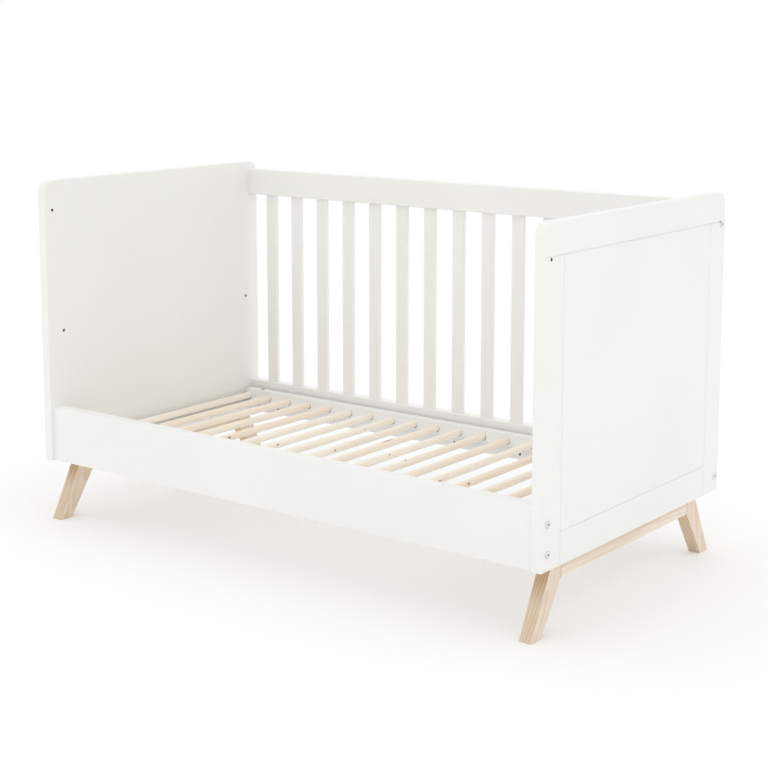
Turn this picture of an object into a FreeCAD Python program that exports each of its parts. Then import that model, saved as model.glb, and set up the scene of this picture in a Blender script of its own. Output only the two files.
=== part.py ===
import FreeCAD, Part
import os
from FreeCAD import Vector
from math import sqrt

# Baby crib for a 700 x 1400 mattress, set up as a bench: two end panels on splayed wooden leg
# frames, a low front rail, a barred back side and a slatted base of round dowels.
# Millimetres. The origin is on the floor under the middle of the crib, +X to the right,
# +Y to the back, +Z up. "Height" of a piece on the panels counts from the panels' lower edge.

# --- End panels --------------------------------------------------------------------------
inner_length = 1402.0      # clear length between the two panels
panel_depth = 770.0        # front to back
panel_height = 697.0
panel_thick = 24.0
panel_corner = 28.0        # radius of the two top corners
panel_foot_corner = 3.0    # radius of the two lower corners
panel_arris = 2.0          # rounding of the painted edges
groove_width = 5.0         # V-groove milled into the outer face
groove_depth = 2.5
groove_top_drop = 68.0     # upper groove below the top edge
groove_low_height = 70.0
groove_side_inset = 71.5

# --- Low front rail and barred back side -------------------------------------------------
rail_thick = 30.0
rail_arris = 2.0
front_rail_height = 135.0
front_setback = 8.5        # rail face behind the panels' front edge
back_setback = 1.0         # rail face inside the panels' back edge
top_rail_height = 70.0
top_rail_drop = 20.0       # top of the rail below the top of the panels
low_rail_height = 90.0
low_rail_hang = 8.0        # how far the rail hangs below the panels
bar_count = 15
bar_width = 35.0
bar_thick = 12.0
bar_round = 3.0
bar_tenon_wall = 1.5       # wood left between a bar's tenon and the bolt bore beside it
drill_count = 7            # row of small blind holes along the low back rail
drill_dia = 6.5
drill_depth = 12.0
drill_height = 14.0        # above the rail's lower edge

# --- Leg frames --------------------------------------------------------------------------
leg_height = 148.0         # floor to the panels' lower edge
leg_thick = 30.0
leg_tuck = 4.0             # part of the thickness that stands under the panel
leg_shoulder = 74.0        # panel edge to the leg's outer corner at the top
leg_knee = 110.5           # panel edge to the joint with the stretcher
foot_width = 38.0
leg_arris = 1.5
stretcher_height = 38.0
joint_dowel_dia = 8.0
joint_dowel_length = 36.0
joint_dowel_heights = (12.0, 26.0)   # below the top of the leg frame
locating_dowel_dia = 10.0
locating_dowel_length = 38.0
locating_dowel_inset = 86.0          # from the panel edge

# --- Cleats that carry the slatted base --------------------------------------------------
cleat_width = 26.0
cleat_height = 28.0
cleat_end_gap = 1.0
cleat_screw_inset = 65.0   # panel edge to the outermost screw
leg_screw_inset = 145.0

# --- Slatted base ------------------------------------------------------------------------
base_rail_thick = 22.0
base_rail_height = 34.0
base_side_gap = 0.5        # base rail to the front rail's back
base_end_gap = 3.0         # rail end to panel
base_rest_gap = 0.3        # rail above cleat
base_end_round = 9.0       # top corners of the rails
base_arris = 1.5
slat_count = 20
slat_dia = 18.0
slat_height = 15.5         # axis above the rail's lower edge
slat_end_wall = 0.5        # wood left between a slat's end and the stud bore behind it
slat_end_inset = 19.0      # panel to the axis of the first and last slat

# --- Hardware ----------------------------------------------------------------------------
bolt_dia = 6.0
bolt_length = 70.0
bolt_head_dia = 16.0
bolt_head_thick = 2.4
bolt_socket = 4.0          # across the flats
bolt_socket_depth = 2.0
bolt_hole_dia = 7.0
bolt_hole_end = 6.0        # free depth past the bolt's tip
nut_dia = 10.0
nut_length = 18.0
nut_setback = 36.0         # rail end to the axis of the barrel nut
low_bolt_height = 35.0
front_bolt_spacing = 62.0  # between the two bolts of the front rail
top_bolt_rise = 17.0       # above the top rail's lower edge
stud_length = 64.0         # studs that hold the base in its upper place
stud_recess = 1.0
stud_hole_end = 3.0
stud_nut_setback = 58.0
stud_nut_length = 20.0
stud_height = 17.0         # above the rail's lower edge
insert_dia = 9.0
insert_length = 13.0
insert_height = 322.5      # upper place of the base, above the panels' lower edge
insert_seat_end = 1.0
screw_dia = 5.0
screw_head_dia = 9.0
screw_head_thick = 3.0
cleat_screw_length = 42.0
leg_screw_length = 45.0
leg_screw_bore_dia = 11.0
leg_screw_bore_depth = 14.0

# --- Places shared by several pieces -----------------------------------------------------
half_length = inner_length / 2.0
half_depth = panel_depth / 2.0
panel_bottom = leg_height
panel_top = panel_bottom + panel_height
front_rail_face = -half_depth + front_setback
front_rail_back = front_rail_face + rail_thick
back_side_back = half_depth - back_setback
back_side_face = back_side_back - rail_thick
front_rail_mid = front_rail_face + rail_thick / 2.0
back_side_mid = back_side_face + rail_thick / 2.0
top_rail_top = panel_top - top_rail_drop
top_rail_bottom = top_rail_top - top_rail_height
low_rail_bottom = panel_bottom - low_rail_hang
low_rail_top = low_rail_bottom + low_rail_height
cleat_top = panel_bottom + cleat_height
base_bottom = cleat_top + base_rest_gap
base_rail_reach = -(front_rail_back + base_side_gap + base_rail_thick / 2.0)
base_rail_mids = (-base_rail_reach, base_rail_reach)
slat_let_in = base_rail_thick / 2.0 - bolt_hole_dia / 2.0 - slat_end_wall
bar_tenon = top_bolt_rise - bolt_hole_dia / 2.0 - bar_tenon_wall
drill_pitch = inner_length / drill_count
low_bolt = panel_bottom + low_bolt_height
top_bolt = top_rail_bottom + top_bolt_rise
front_bolts = (low_bolt, low_bolt + front_bolt_spacing)
back_bolts = (low_bolt, top_bolt)
cleat_screw_reach = half_depth - cleat_screw_inset
cleat_screw_spots = [cleat_screw_reach * share for share in (-1.0, -0.5, 0.5, 1.0)]
leg_screw_reach = half_depth - leg_screw_inset
leg_screw_spots = [leg_screw_reach * share for share in (-1.0, -1.0 / 3.0, 1.0 / 3.0, 1.0)]
SIDES = (("left", -1.0), ("right", 1.0))
X_AXIS = Vector(1, 0, 0)
Y_AXIS = Vector(0, 1, 0)
Z_AXIS = Vector(0, 0, 1)


def block(x0, x1, y0, y1, z0, z1):
    """Box between two opposite corners."""
    corner = Vector(min(x0, x1), min(y0, y1), min(z0, z1))
    return Part.makeBox(abs(x1 - x0), abs(y1 - y0), abs(z1 - z0), corner)


def rod(dia, length, base, axis):
    """Cylinder that starts at base and runs along axis."""
    return Part.makeCylinder(dia / 2.0, length, base, axis)


def round_edges(shape, radius, wanted):
    """Round the edges for which wanted(edge) is true."""
    return shape.makeFillet(radius, [edge for edge in shape.Edges if wanted(edge)])


def runs_along(axis):
    """Test for straight edges parallel to axis."""
    def test(edge):
        if edge.Curve.TypeId != "Part::GeomLine":
            return False
        return abs(abs(edge.Curve.Direction.dot(axis)) - 1.0) < 1e-6
    return test


def lies_in_x(places):
    """Test for edges that lie wholly in one of the planes X = place."""
    def test(edge):
        box = edge.BoundBox
        return any(abs(box.XMin - x) < 1e-6 and abs(box.XMax - x) < 1e-6 for x in places)
    return test


def group(solids):
    """Separate solids kept together in one node."""
    return Part.makeCompound(solids)


def v_groove(start, end, out):
    """Prism of the V that a cutter takes from the outer face; out points out of the panel."""
    along = (end - start).normalize()
    across = along.cross(out)
    half = across * (groove_width / 2.0)
    # the prism stands a little proud of the face, with the V's slopes carried on upwards
    proud = 1.0
    spread = 1.0 + proud / groove_depth
    points = [start + out * proud + half * spread, start + out * proud - half * spread]
    points.append(start - out * groove_depth)
    profile = Part.Face(Part.makePolygon(points + [points[0]]))
    return profile.extrude(end - start)


def end_panel(side):
    """MDF board with round top corners, grooves outside and the holes for its hardware."""
    inner = side * half_length
    outer = inner + side * panel_thick
    panel = block(inner, outer, -half_depth, half_depth, panel_bottom, panel_top)
    upright = runs_along(X_AXIS)
    panel = round_edges(panel, panel_corner, lambda e: upright(e) and e.BoundBox.ZMin > panel_bottom + 1)
    panel = round_edges(panel, panel_foot_corner,
                        lambda e: upright(e) and e.BoundBox.ZMax < panel_bottom + 1)
    panel = round_edges(panel, panel_arris, lies_in_x((inner, outer)))
    out = X_AXIS * side
    low = panel_bottom + groove_low_height
    high = panel_top - groove_top_drop
    far = half_depth - groove_side_inset
    grooves = [v_groove(Vector(outer, -half_depth - 1, high), Vector(outer, half_depth + 1, high), out)]
    grooves.append(v_groove(Vector(outer, -far, low), Vector(outer, far, low), out))
    for y in (-far, far):
        grooves.append(v_groove(Vector(outer, y, panel_bottom - 1), Vector(outer, y, high), out))
    holes = [rod(bolt_hole_dia, panel_thick + 2, Vector(inner - side, y, z), out)
             for y, z in panel_bolt_places()]
    holes += [rod(insert_dia, insert_length + insert_seat_end, place, out) for place in insert_places(side)]
    holes += [cleat_screw(side, y) for y in cleat_screw_spots]
    return panel.cut(grooves + holes)


def panel_bolt_places():
    """Y and Z of every bolt hole in a panel: low rail, removed front side (top) and back side."""
    places = [(front_rail_mid, z) for z in front_bolts + (top_bolt,)]
    return places + [(back_side_mid, z) for z in back_bolts]


def insert_places(side):
    """Mouths of the two threaded inserts in a panel's inner face."""
    return [Vector(side * half_length, y, panel_bottom + insert_height) for y in base_rail_mids]


def rail_bolts(y, heights):
    """Side, Y and Z of the bolts that hold the rails on one side of the crib."""
    return [(side, y, z) for _, side in SIDES for z in heights]


def bolt(side, y, z):
    """Furniture bolt with a flat round head and a hexagon socket, head on the panel."""
    seat = side * (half_length + panel_thick)
    inward = X_AXIS * -side
    shank = rod(bolt_dia, bolt_length, Vector(seat, y, z), inward)
    head = rod(bolt_head_dia, bolt_head_thick, Vector(seat, y, z), -inward)
    rim = [e for e in head.Edges if e.BoundBox.XLength < 1e-6 and abs(e.BoundBox.XMin - seat) > 1]
    head = head.makeFillet(bolt_head_thick / 3.0, rim)
    corner = bolt_socket / sqrt(3.0)
    ring = [Vector(corner, 0, 0)]
    turn = FreeCAD.Rotation(Z_AXIS, 60)
    for _ in range(6):
        ring.append(turn.multVec(ring[-1]))
    socket = Part.Face(Part.makePolygon(ring)).extrude(Z_AXIS * -(bolt_socket_depth + 1))
    socket.rotate(Vector(), Y_AXIS, 90 * side)
    socket.translate(Vector(seat + side * (bolt_head_thick + 1), y, z))
    return head.fuse(shank).removeSplitter().cut(socket)


def barrel_nut(side, y, z):
    """Cross dowel with its tapped hole; its axis lies across the rail."""
    x = side * (half_length - nut_setback)
    body = rod(nut_dia, nut_length, Vector(x, y - nut_length / 2.0, z), Y_AXIS)
    return body.cut(rod(bolt_dia, nut_dia + 2, Vector(x - nut_dia / 2.0 - 1, y, z), X_AXIS))


def rail_bore(side, y, z):
    """End bore for a bolt and the cross hole for its nut, open to the rail's back."""
    x = side * (half_length - nut_setback)
    depth = bolt_length - panel_thick + bolt_hole_end
    bore = rod(bolt_hole_dia, depth + 1, Vector(side * (half_length + 1), y, z), X_AXIS * -side)
    cross = rod(nut_dia, nut_length / 2.0 + rail_thick, Vector(x, y - nut_length / 2.0, z), Y_AXIS)
    return bore.fuse(cross)


def straight_rail(face, back, bottom, top, cuts):
    """Painted rail between the panels with rounded long edges and its bores."""
    rail = block(-half_length, half_length, face, back, bottom, top)
    rail = round_edges(rail, rail_arris, runs_along(X_AXIS))
    return rail.cut(cuts)


def bar_lefts():
    """X of the left face of each bar, with equal gaps from panel to panel."""
    gap = (inner_length - bar_count * bar_width) / (bar_count + 1)
    return [-half_length + gap + i * (bar_width + gap) for i in range(bar_count)]


def bar(left):
    """Flat bar with round long edges, let into the two back rails."""
    y = back_side_mid - bar_thick / 2.0
    z0 = low_rail_top - bar_tenon
    shape = block(left, left + bar_width, y, y + bar_thick, z0, top_rail_bottom + bar_tenon)
    return round_edges(shape, bar_round, runs_along(Z_AXIS))


def leg_profile(front):
    """Outline of a leg in the YZ plane; front is -1 for a front leg and 1 for a back leg."""
    edge = front * half_depth
    into = -front
    outline = [(leg_shoulder, leg_height), (leg_knee, leg_height), (leg_knee, leg_height - stretcher_height)]
    outline += [(foot_width, 0.0), (0.0, 0.0)]
    points = [Vector(0, edge + into * inset, z) for inset, z in outline]
    return Part.Face(Part.makePolygon(points + [points[0]]))


def frame_span(side):
    """Inner and outer X of a leg frame."""
    outer = side * (half_length + leg_tuck)
    return outer - side * leg_thick, outer


def leg(side, front):
    """Splayed leg, sawn from one board together with its knee."""
    inner, outer = frame_span(side)
    shape = leg_profile(front).extrude(X_AXIS * leg_thick)
    shape.translate(Vector(min(inner, outer), 0, 0))
    low = leg_height - stretcher_height
    knee = front * (half_depth - leg_knee)

    def is_free(edge):
        box = edge.BoundBox
        meets_stretcher = abs(box.YMin - knee) < 1e-6 and abs(box.YMax - knee) < 1e-6 and box.ZMax > low + 1
        meets_panel = abs(box.ZMin - leg_height) < 1e-6
        on_floor = box.ZMax < 1e-6
        across = runs_along(X_AXIS)(edge)
        return not (meets_stretcher or meets_panel or on_floor or across)
    shape = round_edges(shape, leg_arris, is_free)
    return shape.cut(joint_dowels(side, front) + [locating_dowel(side, front)])


def stretcher(side):
    """Board that ties the front and the back leg of one end together."""
    inner, outer = frame_span(side)
    reach = half_depth - leg_knee
    shape = block(inner, outer, -reach, reach, leg_height - stretcher_height, leg_height)
    along = runs_along(Y_AXIS)
    shape = round_edges(shape, leg_arris, lambda e: along(e) and e.BoundBox.ZMax < leg_height - 1)
    cuts = joint_dowels(side, -1.0) + joint_dowels(side, 1.0)
    for y in leg_screw_spots:
        cuts.append(leg_screw(side, y))
        mouth = Vector(frame_middle(side), y, leg_height - stretcher_height - 1)
        cuts.append(rod(leg_screw_bore_dia, leg_screw_bore_depth + 1, mouth, Z_AXIS))
    return shape.cut(cuts)


def frame_middle(side):
    """X of the middle of a leg frame."""
    return sum(frame_span(side)) / 2.0


def joint_dowels(side, front):
    """Two wooden dowels that pin a leg to the stretcher."""
    knee = front * (half_depth - leg_knee)
    start = knee - joint_dowel_length / 2.0
    x = frame_middle(side)
    return [rod(joint_dowel_dia, joint_dowel_length, Vector(x, start, leg_height - drop), Y_AXIS)
            for drop in joint_dowel_heights]


def locating_dowel(side, front):
    """Wooden dowel between the top of a leg and the cleat above it."""
    y = front * (half_depth - locating_dowel_inset)
    foot = Vector(cleat_middle(side), y, leg_height - locating_dowel_length / 2.0)
    return rod(locating_dowel_dia, locating_dowel_length, foot, Z_AXIS)


def cleat_middle(side):
    """X of the middle of a cleat."""
    return side * (half_length - cleat_width / 2.0)


def wood_screw(length, tip, axis):
    """Countersunk screw: the head's top face lies at tip + axis * length."""
    neck = length - screw_head_thick
    shank = rod(screw_dia, neck, tip, axis)
    cone = Part.makeCone(screw_dia / 2.0, screw_head_dia / 2.0, screw_head_thick, tip + axis * neck, axis)
    return shank.fuse(cone).removeSplitter()


def cleat_screw(side, y):
    """Screw that holds a cleat to its panel, driven from inside the crib."""
    inward = X_AXIS * -side
    head = Vector(side * (half_length - cleat_width), y, panel_bottom + cleat_height / 2.0)
    return wood_screw(cleat_screw_length, head - inward * cleat_screw_length, inward)


def leg_screw(side, y):
    """Screw from below through the stretcher into the cleat."""
    head = Vector(frame_middle(side), y, leg_height - stretcher_height + leg_screw_bore_depth)
    return wood_screw(leg_screw_length, head + Z_AXIS * leg_screw_length, -Z_AXIS)


def cleat(side):
    """Batten along the foot of a panel that the slatted base lies on."""
    shape = block(side * half_length, side * (half_length - cleat_width), front_rail_back + cleat_end_gap,
                  back_side_face - cleat_end_gap, panel_bottom, cleat_top)
    cuts = [cleat_screw(side, y) for y in cleat_screw_spots]
    cuts += [leg_screw(side, y) for y in leg_screw_spots]
    cuts += [locating_dowel(side, -1.0), locating_dowel(side, 1.0)]
    return shape.cut(cuts)


def slat(index):
    """Round slat between the two base rails."""
    pitch = (inner_length - 2.0 * slat_end_inset) / (slat_count - 1)
    x = -half_length + slat_end_inset + index * pitch
    y0 = base_rail_mids[0] + base_rail_thick / 2.0 - slat_let_in
    y1 = base_rail_mids[1] - base_rail_thick / 2.0 + slat_let_in
    return rod(slat_dia, y1 - y0, Vector(x, y0, base_bottom + slat_height), Y_AXIS)


def base_rail(mid):
    """Long rail of the slatted base with rounded top corners, slat holes and stud bores."""
    end = half_length - base_end_gap
    y0 = mid - base_rail_thick / 2.0
    top = base_bottom + base_rail_height
    rail = block(-end, end, y0, y0 + base_rail_thick, base_bottom, top)
    across = runs_along(Y_AXIS)
    rail = round_edges(rail, base_end_round, lambda e: across(e) and e.BoundBox.ZMin > top - 1)
    along = runs_along(X_AXIS)
    rail = round_edges(rail, base_arris, along)
    cuts = [slat(i) for i in range(slat_count)]
    for _, side in SIDES:
        x = side * (end - stud_nut_setback)
        z = base_bottom + stud_height
        depth = stud_recess + stud_length + stud_hole_end
        cuts.append(rod(bolt_hole_dia, depth + 1, Vector(side * (end + 1), mid, z), X_AXIS * -side))
        nut_foot = Vector(x, mid, z - stud_nut_length / 2.0)
        cuts.append(rod(nut_dia, top - nut_foot.z + 1, nut_foot, Z_AXIS))
    return rail.cut(cuts)


def stud(side, mid):
    """Threaded stud, run back into the end of its rail while the base lies on the cleats."""
    x = side * (half_length - base_end_gap - stud_recess)
    return rod(bolt_dia, stud_length, Vector(x, mid, base_bottom + stud_height), X_AXIS * -side)


def stud_nut(side, mid):
    """Upright barrel nut that the stud turns in, reached from the top of the rail."""
    x = side * (half_length - base_end_gap - stud_nut_setback)
    z = base_bottom + stud_height
    body = rod(nut_dia, stud_nut_length, Vector(x, mid, z - stud_nut_length / 2.0), Z_AXIS)
    return body.cut(rod(bolt_dia, nut_dia + 2, Vector(x - nut_dia / 2.0 - 1, mid, z), X_AXIS))


def threaded_insert(side, place):
    """Brass sleeve, flush with the panel's inner face."""
    out = X_AXIS * side
    return rod(insert_dia, insert_length, place, out).cut(rod(bolt_dia, insert_length + 2, place - out, out))


def build():
    """Every node's name and shape."""
    nodes = {}
    front_spots = rail_bolts(front_rail_mid, front_bolts)
    back_spots = rail_bolts(back_side_mid, back_bolts)
    bars = [bar(left) for left in bar_lefts()]
    front_bores = [rail_bore(*spot) for spot in front_spots]
    back_bores = [rail_bore(*spot) for spot in back_spots]
    row = [(i - (drill_count - 1) / 2.0) * drill_pitch for i in range(drill_count)]
    row_height = low_rail_bottom + drill_height
    drilled = [rod(drill_dia, drill_depth + 1, Vector(x, back_side_face - 1, row_height), Y_AXIS)
               for x in row]
    for name, side in SIDES:
        nodes["end_panel_" + name] = end_panel(side)
        nodes["end_cleat_" + name] = cleat(side)
        nodes["leg_stretcher_" + name] = stretcher(side)
        nodes["leg_front_" + name] = leg(side, -1.0)
        nodes["leg_back_" + name] = leg(side, 1.0)
    nodes["front_rail"] = straight_rail(front_rail_face, front_rail_back, panel_bottom,
                                        panel_bottom + front_rail_height, front_bores)
    nodes["back_top_rail"] = straight_rail(back_side_face, back_side_back, top_rail_bottom, top_rail_top,
                                           back_bores + bars)
    nodes["back_bottom_rail"] = straight_rail(back_side_face, back_side_back, low_rail_bottom, low_rail_top,
                                              back_bores + bars + drilled)
    for i, shape in enumerate(bars):
        nodes["back_bar_%02d" % (i + 1)] = shape
    for i in range(slat_count):
        nodes["base_slat_%02d" % (i + 1)] = slat(i)
    nodes["base_rail_front"] = base_rail(base_rail_mids[0])
    nodes["base_rail_back"] = base_rail(base_rail_mids[1])
    corners = [(side, mid) for _, side in SIDES for mid in base_rail_mids]
    leg_ends = [(side, front) for _, side in SIDES for front in (-1.0, 1.0)]
    nodes["base_studs"] = group([stud(side, mid) for side, mid in corners])
    nodes["base_barrel_nuts"] = group([stud_nut(side, mid) for side, mid in corners])
    nodes["height_inserts"] = group([threaded_insert(side, place) for _, side in SIDES
                                     for place in insert_places(side)])
    nodes["connecting_bolts"] = group([bolt(*spot) for spot in front_spots + back_spots])
    nodes["barrel_nuts"] = group([barrel_nut(*spot) for spot in front_spots + back_spots])
    nodes["cleat_screws"] = group([cleat_screw(side, y) for _, side in SIDES for y in cleat_screw_spots])
    nodes["leg_frame_screws"] = group([leg_screw(side, y) for _, side in SIDES for y in leg_screw_spots])
    nodes["leg_joint_dowels"] = group([pin for side, front in leg_ends for pin in joint_dowels(side, front)])
    nodes["leg_locating_dowels"] = group([locating_dowel(side, front) for side, front in leg_ends])
    return nodes


os.makedirs("parts", exist_ok=True)
for node, solid in build().items():
    solid.exportStep("parts/" + node + ".step")
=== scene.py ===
from math import radians

import bpy
import numpy as np
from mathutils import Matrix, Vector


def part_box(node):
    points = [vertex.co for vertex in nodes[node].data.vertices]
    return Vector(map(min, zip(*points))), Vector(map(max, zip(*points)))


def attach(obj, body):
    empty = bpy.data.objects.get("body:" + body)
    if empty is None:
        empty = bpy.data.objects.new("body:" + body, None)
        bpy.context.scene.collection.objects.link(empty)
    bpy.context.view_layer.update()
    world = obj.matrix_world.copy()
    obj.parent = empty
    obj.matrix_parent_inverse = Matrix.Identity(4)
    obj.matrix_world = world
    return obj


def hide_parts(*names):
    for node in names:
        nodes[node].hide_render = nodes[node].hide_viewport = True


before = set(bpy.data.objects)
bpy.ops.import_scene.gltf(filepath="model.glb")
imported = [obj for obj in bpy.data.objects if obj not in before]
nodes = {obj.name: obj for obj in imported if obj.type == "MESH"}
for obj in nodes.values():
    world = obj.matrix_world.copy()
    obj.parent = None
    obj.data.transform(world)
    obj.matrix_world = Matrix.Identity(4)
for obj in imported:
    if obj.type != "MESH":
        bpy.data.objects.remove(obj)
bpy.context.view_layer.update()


# ---- End boards ---------------------------------------------------------------------------
# Two 24 mm MDF boards, profiled on a router with a shallow V-groove panel line, drilled for the
# bolts and inserts, then sprayed all round with a satin off-white lacquer.

class Tone:
    """One output of a finish's nodes. Sums and products of it add the Math node they need."""

    def __init__(self, tree, socket):
        self.tree = tree
        self.socket = socket

    def node(self, kind, settings=(), inputs=(), output=0):
        """Add a node of this type: first its settings, then the values or links of its sockets."""
        made = self.tree.nodes.new(kind)
        for name, value in dict(settings).items():
            setattr(made, name, value)
        for name, value in dict(inputs).items():
            if isinstance(value, Tone):
                self.tree.links.new(value.socket, made.inputs[name])
            else:
                made.inputs[name].default_value = value
        return Tone(self.tree, made.outputs[output])

    def math(self, operation, *values):
        """A Math node on these values; which one it is called on doesn't matter."""
        return self.node("ShaderNodeMath", {"operation": operation}, dict(enumerate(values)))

    def vector_math(self, operation, values, output=0):
        """A Vector Math node on these values, by socket."""
        return self.node("ShaderNodeVectorMath", {"operation": operation}, values, output)

    def __add__(self, other):
        return self.math("ADD", self, other)

    __radd__ = __add__

    def __sub__(self, other):
        return self.math("SUBTRACT", self, other)

    def __rsub__(self, other):
        return self.math("SUBTRACT", other, self)

    def __mul__(self, other):
        return self.math("MULTIPLY", self, other)

    __rmul__ = __mul__

    def __abs__(self):
        return self.math("ABSOLUTE", self)

    def least(self, other):
        return self.math("MINIMUM", self, other)

    def most(self, other):
        return self.math("MAXIMUM", self, other)

    def over(self, limit):
        """1 where this is greater than the limit, otherwise 0."""
        return self.math("GREATER_THAN", self, limit)

    def under(self, limit):
        """1 where this is less than the limit, otherwise 0."""
        return self.math("LESS_THAN", self, limit)

    def xyz(self):
        """The three parts of a vector."""
        return [self.node("ShaderNodeSeparateXYZ", {}, {0: self}, part) for part in range(3)]

    def rise(self, low, high):
        """0 below low, 1 above high and a smooth step between; with low above high it falls."""
        return self.node("ShaderNodeMapRange", {"interpolation_type": "SMOOTHSTEP"},
                         {"Value": self, "From Min": low, "From Max": high})

    def noise(self, scale, detail=2.0, stretch=(1.0, 1.0, 1.0)):
        """Cloudy noise around 0.5 at this point, with so many cells to the metre."""
        point = self.vector_math("MULTIPLY", {0: self, 1: stretch})
        return self.node("ShaderNodeTexNoise", {},
                         {"Vector": point, "Scale": scale, "Detail": detail})

    def placed(self, place, turn=(0.0, 0.0, 0.0)):
        """This point as seen from a piece's own middle and along its own length."""
        return self.node("ShaderNodeMapping", {"vector_type": "TEXTURE"},
                         {"Vector": self, "Location": place, "Rotation": turn})

    def mixed(self, first, second):
        """From the first colour to the second as this goes from 0 to 1."""
        return self.node("ShaderNodeMix", {"data_type": "RGBA"},
                         {0: self, 6: first, 7: second}, 2)

    def bump(self, depth, strength=1.0):
        """The surface normal of a relief this high, in metres."""
        return self.node("ShaderNodeBump", {},
                         {"Height": self, "Distance": depth, "Strength": strength})


def new_finish(name):
    """A bare material: itself, its shader's sockets and the object's own points."""
    material = bpy.data.materials.new(name)
    material.use_nodes = True
    tree = material.node_tree
    shader = tree.nodes["Principled BSDF"].inputs
    point = tree.nodes.new("ShaderNodeTexCoord").outputs["Object"]
    return material, shader, Tone(tree, point)


def feed(shader, values):
    """Link what changes over the surface and set what doesn't, by the shader's socket names."""
    for name, value in values.items():
        if isinstance(value, Tone):
            value.tree.links.new(value.socket, shader[name])
        else:
            shader[name].default_value = value


def dress(node, material):
    """Give a CAD part its finish."""
    slots = nodes[node].data.materials
    slots.clear()
    slots.append(material)


LACQUER = (0.89, 0.888, 0.862, 1.0)
LACQUER_CLOUD = (0.867, 0.865, 0.836, 1.0)
LACQUER_THIN = (0.8, 0.783, 0.744, 1.0)
GROOVE_PAINTED_SHADE = (0.766, 0.76, 0.732, 1.0)
MDF_CORE = (0.33, 0.21, 0.12, 1.0)
PAINTED_CRESCENT_SHADOW = (0.11, 0.10, 0.075, 1.0)
EDGE_START, EDGE_END = 0.0004, 0.0012
GROOVE_START, GROOVE_END = 0.0002, 0.0014
CLEAR_OF_EDGE = 0.004
PEEL_DEPTH = 0.0001


def bore_mask(point, axis, places, radius, start, end):
    """1 inside the round holes at these places, mirrored left to right.

    The holes run along an axis from start to end; a point is in one where its distance from the
    hole's axis is under the radius.
    """
    x, y, z = point.xyz()
    along, first, second = {"x": (x, y, z), "y": (y, abs(x), z), "z": (z, abs(x), abs(y))}[axis]
    mask = None
    for a, b in places:
        aside, above = first - a, second - b
        inside = (aside * aside + above * above).under(radius * radius)
        mask = inside if mask is None else mask.most(inside)
    return mask * along.over(start) * along.under(end)


def lacquer(node, core=MDF_CORE, bores=None, groove=False, shadow_marks=None):
    """Sprayed satin lacquer: a fine orange peel, thinner and warmer on the rounded edges.

    The distance to the nearest long edge is the middle one of the distances to the three pairs
    of faces of the piece's box. Bores show their raw core, shadow marks a dark painted shadow, and
    the panel line, a little below the outer face and away from the board's edge, a little painted
    shade.
    """
    low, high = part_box(node)
    material, shader, point = new_finish("satin_lacquer_" + node)
    half = (high - low) / 2
    own = point.placed((low + high) / 2)
    away = own.vector_math("ABSOLUTE", {0: own})
    away = away.vector_math("SUBTRACT", {0: half, 1: away})
    x, y, z = away.xyz()
    edge = x.least(y).most(x.most(y).least(z))
    worn = edge.rise(EDGE_END, EDGE_START) * point.noise(45.0, 4.0).rise(0.4, 0.75)
    colour = point.noise(3.0, 3.0).rise(0.25, 0.75).mixed(LACQUER, LACQUER_CLOUD)
    colour = (0.2 * worn).mixed(colour, LACQUER_THIN)
    if groove:
        # Painted shade in the V-groove of the panel line.
        inside = x.rise(GROOVE_START, GROOVE_END) * y.least(z).over(CLEAR_OF_EDGE)
        colour = (0.15 * inside).mixed(colour, GROOVE_PAINTED_SHADE)
    roughness = 0.34 + 0.08 * point.noise(160.0, 2.0) - 0.06 * worn
    if bores:
        bare = bore_mask(point, *bores)
        fibre = point.noise(900.0, 4.0, (0.4, 1.0, 1.0)).rise(0.3, 0.7)
        raw = fibre.mixed(core, tuple(c * 0.6 for c in core[:3]) + (1.0,))
        colour = bare.mixed(colour, raw)
        roughness = roughness + 0.45 * bare
    # Dark crescents of painted shadow under the slat ends on the base rails.
    if shadow_marks:
        colour = (0.9 * bore_mask(point, *shadow_marks)).mixed(colour, PAINTED_CRESCENT_SHADOW)
    peel = point.noise(420.0, 3.0) + 0.35 * point.noise(1500.0, 1.0)
    feed(shader, {"Base Color": colour, "Roughness": roughness,
                  "Normal": peel.bump(PEEL_DEPTH, 0.5), "IOR": 1.48})
    return material


FRONT_BOLTS_Y = -0.3615
BACK_BOLTS_Y = 0.369
LOW_BOLT_Z = 0.183
SECOND_BOLT_Z = 0.245
TOP_BOLT_Z = 0.772
BOLT_HOLE = 0.00368

panel_holes = [(FRONT_BOLTS_Y, LOW_BOLT_Z), (FRONT_BOLTS_Y, SECOND_BOLT_Z),
               (FRONT_BOLTS_Y, TOP_BOLT_Z), (BACK_BOLTS_Y, LOW_BOLT_Z), (BACK_BOLTS_Y, TOP_BOLT_Z)]
for board in ("end_panel_left", "end_panel_right"):
    through = ("x", panel_holes, BOLT_HOLE, -1.0, 1.0)
    dress(board, lacquer(board, bores=through, groove=True))


# ---- Front rail, back side and cleats -----------------------------------------------------
# Solid pine rails and flat bars, planed, rounded and sprayed with the same lacquer. Each rail has
# a cross hole for a barrel nut near its ends, and the low back rail a row of small blind holes.

PINE_CORE = (0.56, 0.41, 0.26, 1.0)
NUT_X = 0.665
NUT_HOLE = 0.00512
ROW_COUNT = 7
ROW_PITCH = 1.402 / ROW_COUNT
ROW_Z = 0.154
ROW_HOLE = 0.0034
BAR_COUNT = 15

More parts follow.
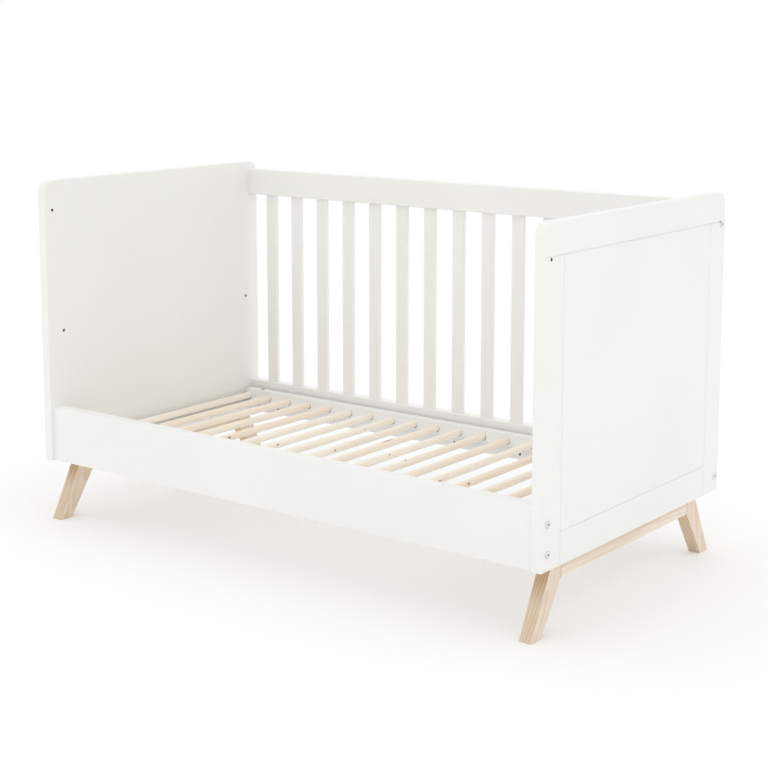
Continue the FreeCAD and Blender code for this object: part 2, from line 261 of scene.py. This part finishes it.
front_nuts = [(NUT_X, LOW_BOLT_Z), (NUT_X, SECOND_BOLT_Z)]
dress("front_rail", lacquer("front_rail", PINE_CORE, ("y", front_nuts, NUT_HOLE, -0.374, 0.0)))
back_nuts = ("y", [(NUT_X, TOP_BOLT_Z)], NUT_HOLE, 0.357, 0.5)
dress("back_top_rail", lacquer("back_top_rail", PINE_CORE, back_nuts))
row = [(ROW_PITCH * i, ROW_Z) for i in range(ROW_COUNT // 2 + 1)]
dress("back_bottom_rail", lacquer("back_bottom_rail", PINE_CORE, ("y", row, ROW_HOLE, 0.0, 0.380)))
for i in range(BAR_COUNT):
    bar = "back_bar_%02d" % (i + 1)
    dress(bar, lacquer(bar))
for side in ("left", "right"):
    dress("end_cleat_" + side, lacquer("end_cleat_" + side))


# ---- Leg frames ---------------------------------------------------------------------------
# Splayed legs and stretchers sawn from light solid wood, pinned with dowels, glued, sanded and
# left clear under a matt varnish, so the rings show as arcs on the wide faces.

def wood(name, place, turn, seed, pale, brown, ring=0.0075, tone=0.13, contrast=1.0,
         lean=(0.0, 0.0), half=None, browning=(0.0, 0.0, 0.0)):
    """Sawn wood whose grain runs along the piece's own Z.

    The rings are the distance from a pith line outside the piece, bent by slow noise and cut
    into steps; the fibres are noise drawn out along the grain, the pores its thin dark threads
    and the flecks its short dark dashes. A piece given half its thickness is browner, with pale
    ring lines, on its two narrow faces, and browner still towards its head: browning holds how
    much at the foot, how much more at the head, and how much on the upper half of its wide faces.
    Returns the material, its shader, the object's point, the colour and the relief of the grain.
    """
    rng = np.random.default_rng(seed)
    material, shader, point = new_finish(name)
    own = point.placed(place, turn)
    shift = tuple(rng.uniform(-4.0, 4.0, 3))
    grain = own.vector_math("ADD", {0: own, 1: shift})
    x, y, z = own.xyz()
    slow = grain.noise(9.0, 2.0, (1.0, 1.0, 0.45))
    ripple = grain.noise(60.0, 2.0, (1.0, 1.0, 0.12))
    pith_x = rng.uniform(0.035, 0.06) * rng.choice((-1.0, 1.0))
    pith_y = rng.uniform(-0.02, 0.02)
    across = x - pith_x - lean[0] * z
    up = y - pith_y - lean[1] * z
    reach = across.math("SQRT", across * across + up * up) + 0.020 * slow + 0.0022 * ripple
    step = reach.math("FRACT", reach * (1.0 / ring))
    late = step.rise(0.1, 0.85) * step.rise(1.0, 0.88)
    fibre = grain.noise(800.0, 3.0, (1.0, 1.0, 0.03))
    thread = grain.noise(1500.0, 1.0, (1.0, 1.0, 0.018)).rise(0.66, 0.78)
    fleck = grain.noise(520.0, 0.0, (1.0, 1.0, 0.16)).rise(0.72, 0.80)
    broad = grain.noise(22.0, 2.0, (1.0, 1.0, 0.18))
    shade = (0.17 * late + 0.45 * (fibre - 0.5) + 0.16 * thread + 0.22 * fleck
             + 0.8 * (broad - 0.5))
    if half:
        foot, head, upper = browning
        narrow = abs(x).rise(half, half - 0.0008)
        pale_line = step.rise(0.10, 0.02) * step.rise(0.0, 0.02)
        # Browner on the two narrow faces, more so towards the head, with pale ring lines there.
        tone = tone + narrow * (foot + head * z.rise(-0.02, 0.06) - 0.42 * pale_line)
        # Browner on the upper half of the wide faces.
        tone = tone + upper * (y + 0.006 * (slow - 0.5)).rise(-0.001, 0.003)
    colour = (tone + contrast * shade).mixed(pale, brown)
    return material, shader, point, colour, fibre + 0.5 * late - 1.4 * thread - fleck


LEG_PALE = (0.90, 0.79, 0.665, 1.0)
LEG_BROWN = (0.536, 0.357, 0.205, 1.0)
GLUE_LINE = (0.25, 0.15, 0.08, 1.0)
KNEE_Y = 0.2745
LEG_SPLAY = radians(27.0)
LEG_HALF = 0.015
SEAM_START, SEAM_END = 0.0004, 0.0011
# How much browner the narrow faces are at the foot, how much more at the head, and the wide faces'
# upper half.
FRONT_BROWNING = (0.32, 0.42, 0.0)
BACK_BROWNING = (0.34, 0.10, 0.0)
STRETCHER_BROWNING = (0.1, 0.0, 0.24)


def leg_finish(node, turn, seed, tone, lean, browning=(0.0, 0.0, 0.0)):
    """Matt varnished wood with the fine dark line of the glued knee joint."""
    low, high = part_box(node)
    material, shader, point, colour, relief = wood(
        "varnished_wood_" + node, (low + high) / 2, turn, seed, LEG_PALE, LEG_BROWN,
        tone=tone, lean=lean, half=LEG_HALF, browning=browning)
    x, y, z = point.xyz()
    seam = abs(abs(y) - KNEE_Y).rise(SEAM_END, SEAM_START)
    colour = (0.85 * seam).mixed(colour, GLUE_LINE)
    feed(shader, {"Base Color": colour, "Roughness": 0.46 + 0.12 * point.noise(220.0, 2.0),
                  "Normal": relief.bump(0.00007, 0.5), "IOR": 1.45})
    return material


for k, side in enumerate(("left", "right")):
    leg = "leg_front_" + side
    dress(leg, leg_finish(leg, (-LEG_SPLAY, 0, 0), 11 + k, 0.38 - 0.22 * k,
                          (0.10, 0.05), FRONT_BROWNING))
    leg = "leg_back_" + side
    dress(leg, leg_finish(leg, (LEG_SPLAY, 0, 0), 21 + k, 0.14, (-0.08, 0.06), BACK_BROWNING))
    stretcher = "leg_stretcher_" + side
    dress(stretcher, leg_finish(stretcher, (radians(90), 0, 0), 31 + k, 0.04,
                                (0.02, 0.015), STRETCHER_BROWNING))
for pins in ("leg_joint_dowels", "leg_locating_dowels"):
    dress(pins, leg_finish(pins, (0, 0, 0), 41, 0.2, (0.0, 0.0)))


# ---- Slatted base: rails ------------------------------------------------------------------
# Two painted pine rails with rounded top corners. Each end has a stud bore and, from above, the
# hole of the barrel nut that the stud turns in. Under each slat a dark crescent of painted shadow
# is laid on the rail's inner face.

STUD_NUT_PLACE = (0.640, 0.335)
SLAT_COUNT = 20
SLAT_PITCH = 1.364 / (SLAT_COUNT - 1)
SLAT_AXIS_Z = 0.1918
SLAT_SHADOW_DROP = 0.0009
SLAT_SHADOW_RADIUS = 0.0097
RAIL_INNER_Y = 0.3243

# Painted shadow crescents, centred a little below each slat's axis and a little wider than the
# slat.
slat_shadow_crescents = [(SLAT_PITCH * (i + 0.5), SLAT_AXIS_Z - SLAT_SHADOW_DROP) for i in range(SLAT_COUNT // 2)]
for rail, start, end in (("base_rail_front", -RAIL_INNER_Y, 0.0),
                         ("base_rail_back", 0.0, RAIL_INNER_Y)):
    dress(rail, lacquer(rail, PINE_CORE, ("z", [STUD_NUT_PLACE], NUT_HOLE, 0.179, 1.0),
                        shadow_marks=("y", slat_shadow_crescents, SLAT_SHADOW_RADIUS, start, end)))


# ---- Slatted base: slats ------------------------------------------------------------------
# Twenty 18 mm dowels of raw sanded softwood, moulded from thin planks, pressed into blind holes
# in the two rails. No two are alike: some run redder, and most carry a small dark knot or two.

SLAT_CHAMFER = 0.0008
SLAT_PALE = (0.955, 0.892, 0.79, 1.0)
SLAT_TAN = (0.735, 0.588, 0.441, 1.0)
SLAT_RED = (0.935, 0.822, 0.695, 1.0)
KNOT_EYE = (0.12, 0.065, 0.035, 1.0)
KNOT_HALO = (0.50, 0.31, 0.175, 1.0)
slat_rng = np.random.default_rng(5)


def dowel_surface(low, high, bow, flat, wave, around=48, along=72):
    """Turned dowel between two ends, as one closed surface of angle and length.

    At angle a and share t of the length the point lies a radius from the axis, times one plus a
    flat of two waves in a and a slow wave in t; the axis bows sideways as the sine of half a turn
    along it, and is straight where the ends sit in the rails. The end rings shrink to the
    axis over a small chamfer.
    """
    axis = (low + high) / 2
    radius = (high.z - low.z) / 2
    length = high.y - low.y
    rim = 1.0 - SLAT_CHAMFER / radius
    inner = np.linspace(0.0, 1.0, along) * (length - 2 * SLAT_CHAMFER) + SLAT_CHAMFER
    run = np.concatenate(([0.0, 0.0], inner, [length, length]))
    shrink = np.concatenate(([0.0, rim], np.ones(along), [rim, 0.0]))
    angle = np.linspace(0.0, 2 * np.pi, around, endpoint=False)
    a, t = np.meshgrid(angle, run / length)
    r = radius * shrink[:, None] * (1 + flat * np.cos(2 * a + wave) + 0.002 * np.sin(9 * t + wave))
    side = np.sin(np.pi * t) ** 2
    x = axis.x + bow[0] * side + r * np.sin(a)
    z = axis.z + bow[1] * side + r * np.cos(a)
    y = low.y + t * length
    return np.stack((x, y, z), axis=-1), run.size


def closed_tube(name, points, rings):
    """Mesh of a tube whose first and last rings have closed to a point."""
    around = points.shape[1]
    ring, spoke = np.meshgrid(np.arange(rings - 1), np.arange(around), indexing="ij")
    here, there = ring * around + spoke, ring * around + (spoke + 1) % around
    faces = np.stack((here, there, there + around, here + around), axis=-1).reshape(-1, 4)
    mesh = bpy.data.meshes.new(name)
    mesh.from_pydata(points.reshape(-1, 3), [], faces.tolist())
    mesh.polygons.foreach_set("use_smooth", np.ones(len(mesh.polygons), bool))
    mesh.validate()
    made = bpy.data.objects.new(name, mesh)
    bpy.context.scene.collection.objects.link(made)
    return made


def slat_finish(index, low, high):
    """Raw sanded softwood with its own tone, a few knots and now and then a long thin check.

    A knot is a dark eye with a brown halo drawn out along the grain, at an angle round the dowel
    and a place along it; a check is a long narrow streak of the same kind.
    """
    warm = slat_rng.uniform(0.0, 1.0) ** 2
    pale = tuple(p + (r - p) * warm for p, r in zip(SLAT_PALE, SLAT_RED))
    middle = (low + high) / 2
    radius = (high.z - low.z) / 2
    material, shader, point, colour, relief = wood(
        "raw_slat_wood_%02d" % (index + 1), middle, (radians(90), 0, 0), 60 + index, pale, SLAT_TAN,
        ring=0.0045, tone=0.03, contrast=0.7, lean=(0.01, 0.012))
    for mark in range(int(slat_rng.integers(1, 4))):
        angle = slat_rng.uniform(-1.9, 1.9)
        place = slat_rng.uniform(-0.30, 0.30)
        size = slat_rng.uniform(0.0011, 0.0024)
        long = 9.0 if slat_rng.uniform() < 0.2 else slat_rng.uniform(1.2, 1.9)
        centre = (middle.x + radius * np.sin(angle), middle.y + place,
                  middle.z + radius * np.cos(angle))
        away = point.node("ShaderNodeMapping", {"vector_type": "TEXTURE"},
                          {"Vector": point, "Location": centre, "Scale": (1.0, long, 1.0)})
        distance = away.vector_math("LENGTH", {0: away}, "Value")
        distance = distance + 0.0012 * (point.noise(700.0, 2.0) - 0.5)
        colour = (0.55 * distance.rise(size * 2.3, size * 0.9)).mixed(colour, KNOT_HALO)
        colour = (0.9 * distance.rise(size * 1.05, size * 0.55)).mixed(colour, KNOT_EYE)
    feed(shader, {"Base Color": colour, "Roughness": 0.58 + 0.12 * point.noise(260.0, 2.0),
                  "Normal": relief.bump(0.00006, 0.5), "IOR": 1.45})
    return material


for i in range(SLAT_COUNT):
    node = "base_slat_%02d" % (i + 1)
    low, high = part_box(node)
    bow = slat_rng.uniform(-0.0006, 0.0006, 2)
    flat = slat_rng.uniform(0.001, 0.006)
    wave = slat_rng.uniform(0, 6)
    points, rings = dowel_surface(low, high, bow, flat, wave)
    slat = closed_tube("slat_%02d" % (i + 1), points, rings)
    slat.data.materials.append(slat_finish(i, low, high))
    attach(slat, "slatted_base")
    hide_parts(node)


# ---- Bolts, nuts, studs, screws and inserts -----------------------------------------------
# Nickel-plated furniture bolts with flat round heads, zinc-plated barrel nuts, studs and screws,
# and brass inserts, all bought in. Plating is bright, finely lined and a little cloudy.

def metal(name, bright, dull, roughness, stretch, sockets=None):
    """Plated metal: fine lines drawn out one way, slow clouding and a few darker specks.

    Where it has sockets, at these places across the board, the inside of each socket below the
    head's face is painted dark as shade.
    """
    material, shader, point = new_finish(name)
    lines = point.noise(2600.0, 2.0, stretch)
    cloud = point.noise(180.0, 3.0)
    speck = point.noise(900.0, 1.0).rise(0.70, 0.82)
    shade = 0.45 * cloud.rise(0.3, 0.75) + 0.25 * lines + 0.5 * speck
    colour = shade.mixed(bright, dull)
    if sockets:
        # Painted shade inside the hex sockets, below the head's face.
        sunk = abs(point.xyz()[0]).rise(SOCKET_MOUTH_X, SOCKET_MOUTH_X - 0.0002)
        socket = bore_mask(point, "x", sockets, SOCKET_RADIUS, -1.0, 1.0)
        colour = (0.85 * sunk * socket).mixed(colour, SOCKET_PAINTED_SHADE)
    feed(shader, {"Base Color": colour, "Metallic": 1.0,
                  "Roughness": roughness + 0.14 * cloud + 0.10 * speck,
                  "Normal": lines.bump(0.00002, 0.4)})
    return material


NICKEL = ((0.86, 0.86, 0.86, 1.0), (0.60, 0.60, 0.61, 1.0))
SOCKET_PAINTED_SHADE = (0.06, 0.065, 0.075, 1.0)
SOCKET_MOUTH_X = 0.7273
SOCKET_RADIUS = 0.00235
ZINC = ((0.66, 0.67, 0.69, 1.0), (0.44, 0.45, 0.47, 1.0))
BRASS = ((0.76, 0.60, 0.30, 1.0), (0.50, 0.37, 0.16, 1.0))
dress("connecting_bolts", metal("nickel_plate", *NICKEL, 0.20, (1.0, 0.08, 1.0), panel_holes))
zinc = metal("zinc_plate", *ZINC, 0.30, (1.0, 1.0, 0.08))
for node in ("barrel_nuts", "base_barrel_nuts", "base_studs", "cleat_screws", "leg_frame_screws"):
    dress(node, zinc)
dress("height_inserts", metal("brass", *BRASS, 0.28, (0.08, 1.0, 1.0)))


# ---- Studio -------------------------------------------------------------------------------
# A plain pale floor under a white surround, a little brighter overhead, and one broad soft box
# above the crib. The camera stands in front of the right-hand board, a little above it.

def studio_floor(reach=14.0, steps=29):
    """Flat square sheet on a grid, level with the feet."""
    line = np.linspace(-reach, reach, steps)
    x, y = np.meshgrid(line, line)
    points = np.stack((x, y, np.full_like(x, -0.0002)), axis=-1).reshape(-1, 3)
    row, column = np.meshgrid(np.arange(steps - 1), np.arange(steps - 1), indexing="ij")
    corner = (row * steps + column).reshape(-1)
    faces = np.stack((corner, corner + 1, corner + steps + 1, corner + steps), axis=-1)
    mesh = bpy.data.meshes.new("studio_floor")
    mesh.from_pydata(points, [], faces.tolist())
    made = bpy.data.objects.new("studio_floor", mesh)
    bpy.context.scene.collection.objects.link(made)
    return made


floor = studio_floor()
floor_material, floor_shader, floor_point = new_finish("pale_floor")
floor_tone = floor_point.noise(1.2, 2.0).mixed((0.97, 0.97, 0.97, 1.0),
                                               (0.96, 0.96, 0.96, 1.0))
feed(floor_shader, {"Base Color": floor_tone, "Roughness": 0.85, "Specular IOR Level": 0.1})
floor.data.materials.append(floor_material)

world = bpy.data.worlds.new("white_surround")
world.use_nodes = True
around = world.node_tree.nodes.new("ShaderNodeTexCoord").outputs["Generated"]
height = Tone(world.node_tree, around).xyz()[2]
surround = world.node_tree.nodes["Background"].inputs
feed(surround, {"Color": (1.0, 1.0, 1.0, 1.0),
                "Strength": 1.0 + 0.06 * height.rise(0.1, 1.0)})
bpy.context.scene.world = world


def soft_light(name, place, turn, size, watts):
    """Square soft box."""
    lamp = bpy.data.lights.new(name, "AREA")
    lamp.shape = "SQUARE"
    lamp.size = size
    lamp.energy = watts
    made = bpy.data.objects.new(name, lamp)
    made.location = place
    made.rotation_euler = [radians(a) for a in turn]
    bpy.context.scene.collection.objects.link(made)


soft_light("overhead_box", (0.0, -0.4, 3.4), (0.0, 0.0, 0.0), 3.2, 4.0)

lens = bpy.data.cameras.new("camera")
lens.lens = 77.79
lens.sensor_width = 36.0
lens.shift_y = -0.15
camera = bpy.data.objects.new("camera", lens)
camera.location = (2.3906, -3.0677, 1.2181)
camera.rotation_euler = (radians(90.0 - 8.345), 0.0, radians(37.436))
bpy.context.scene.collection.objects.link(camera)
bpy.context.scene.camera = camera
bpy.context.scene.view_settings.view_transform = "Standard"
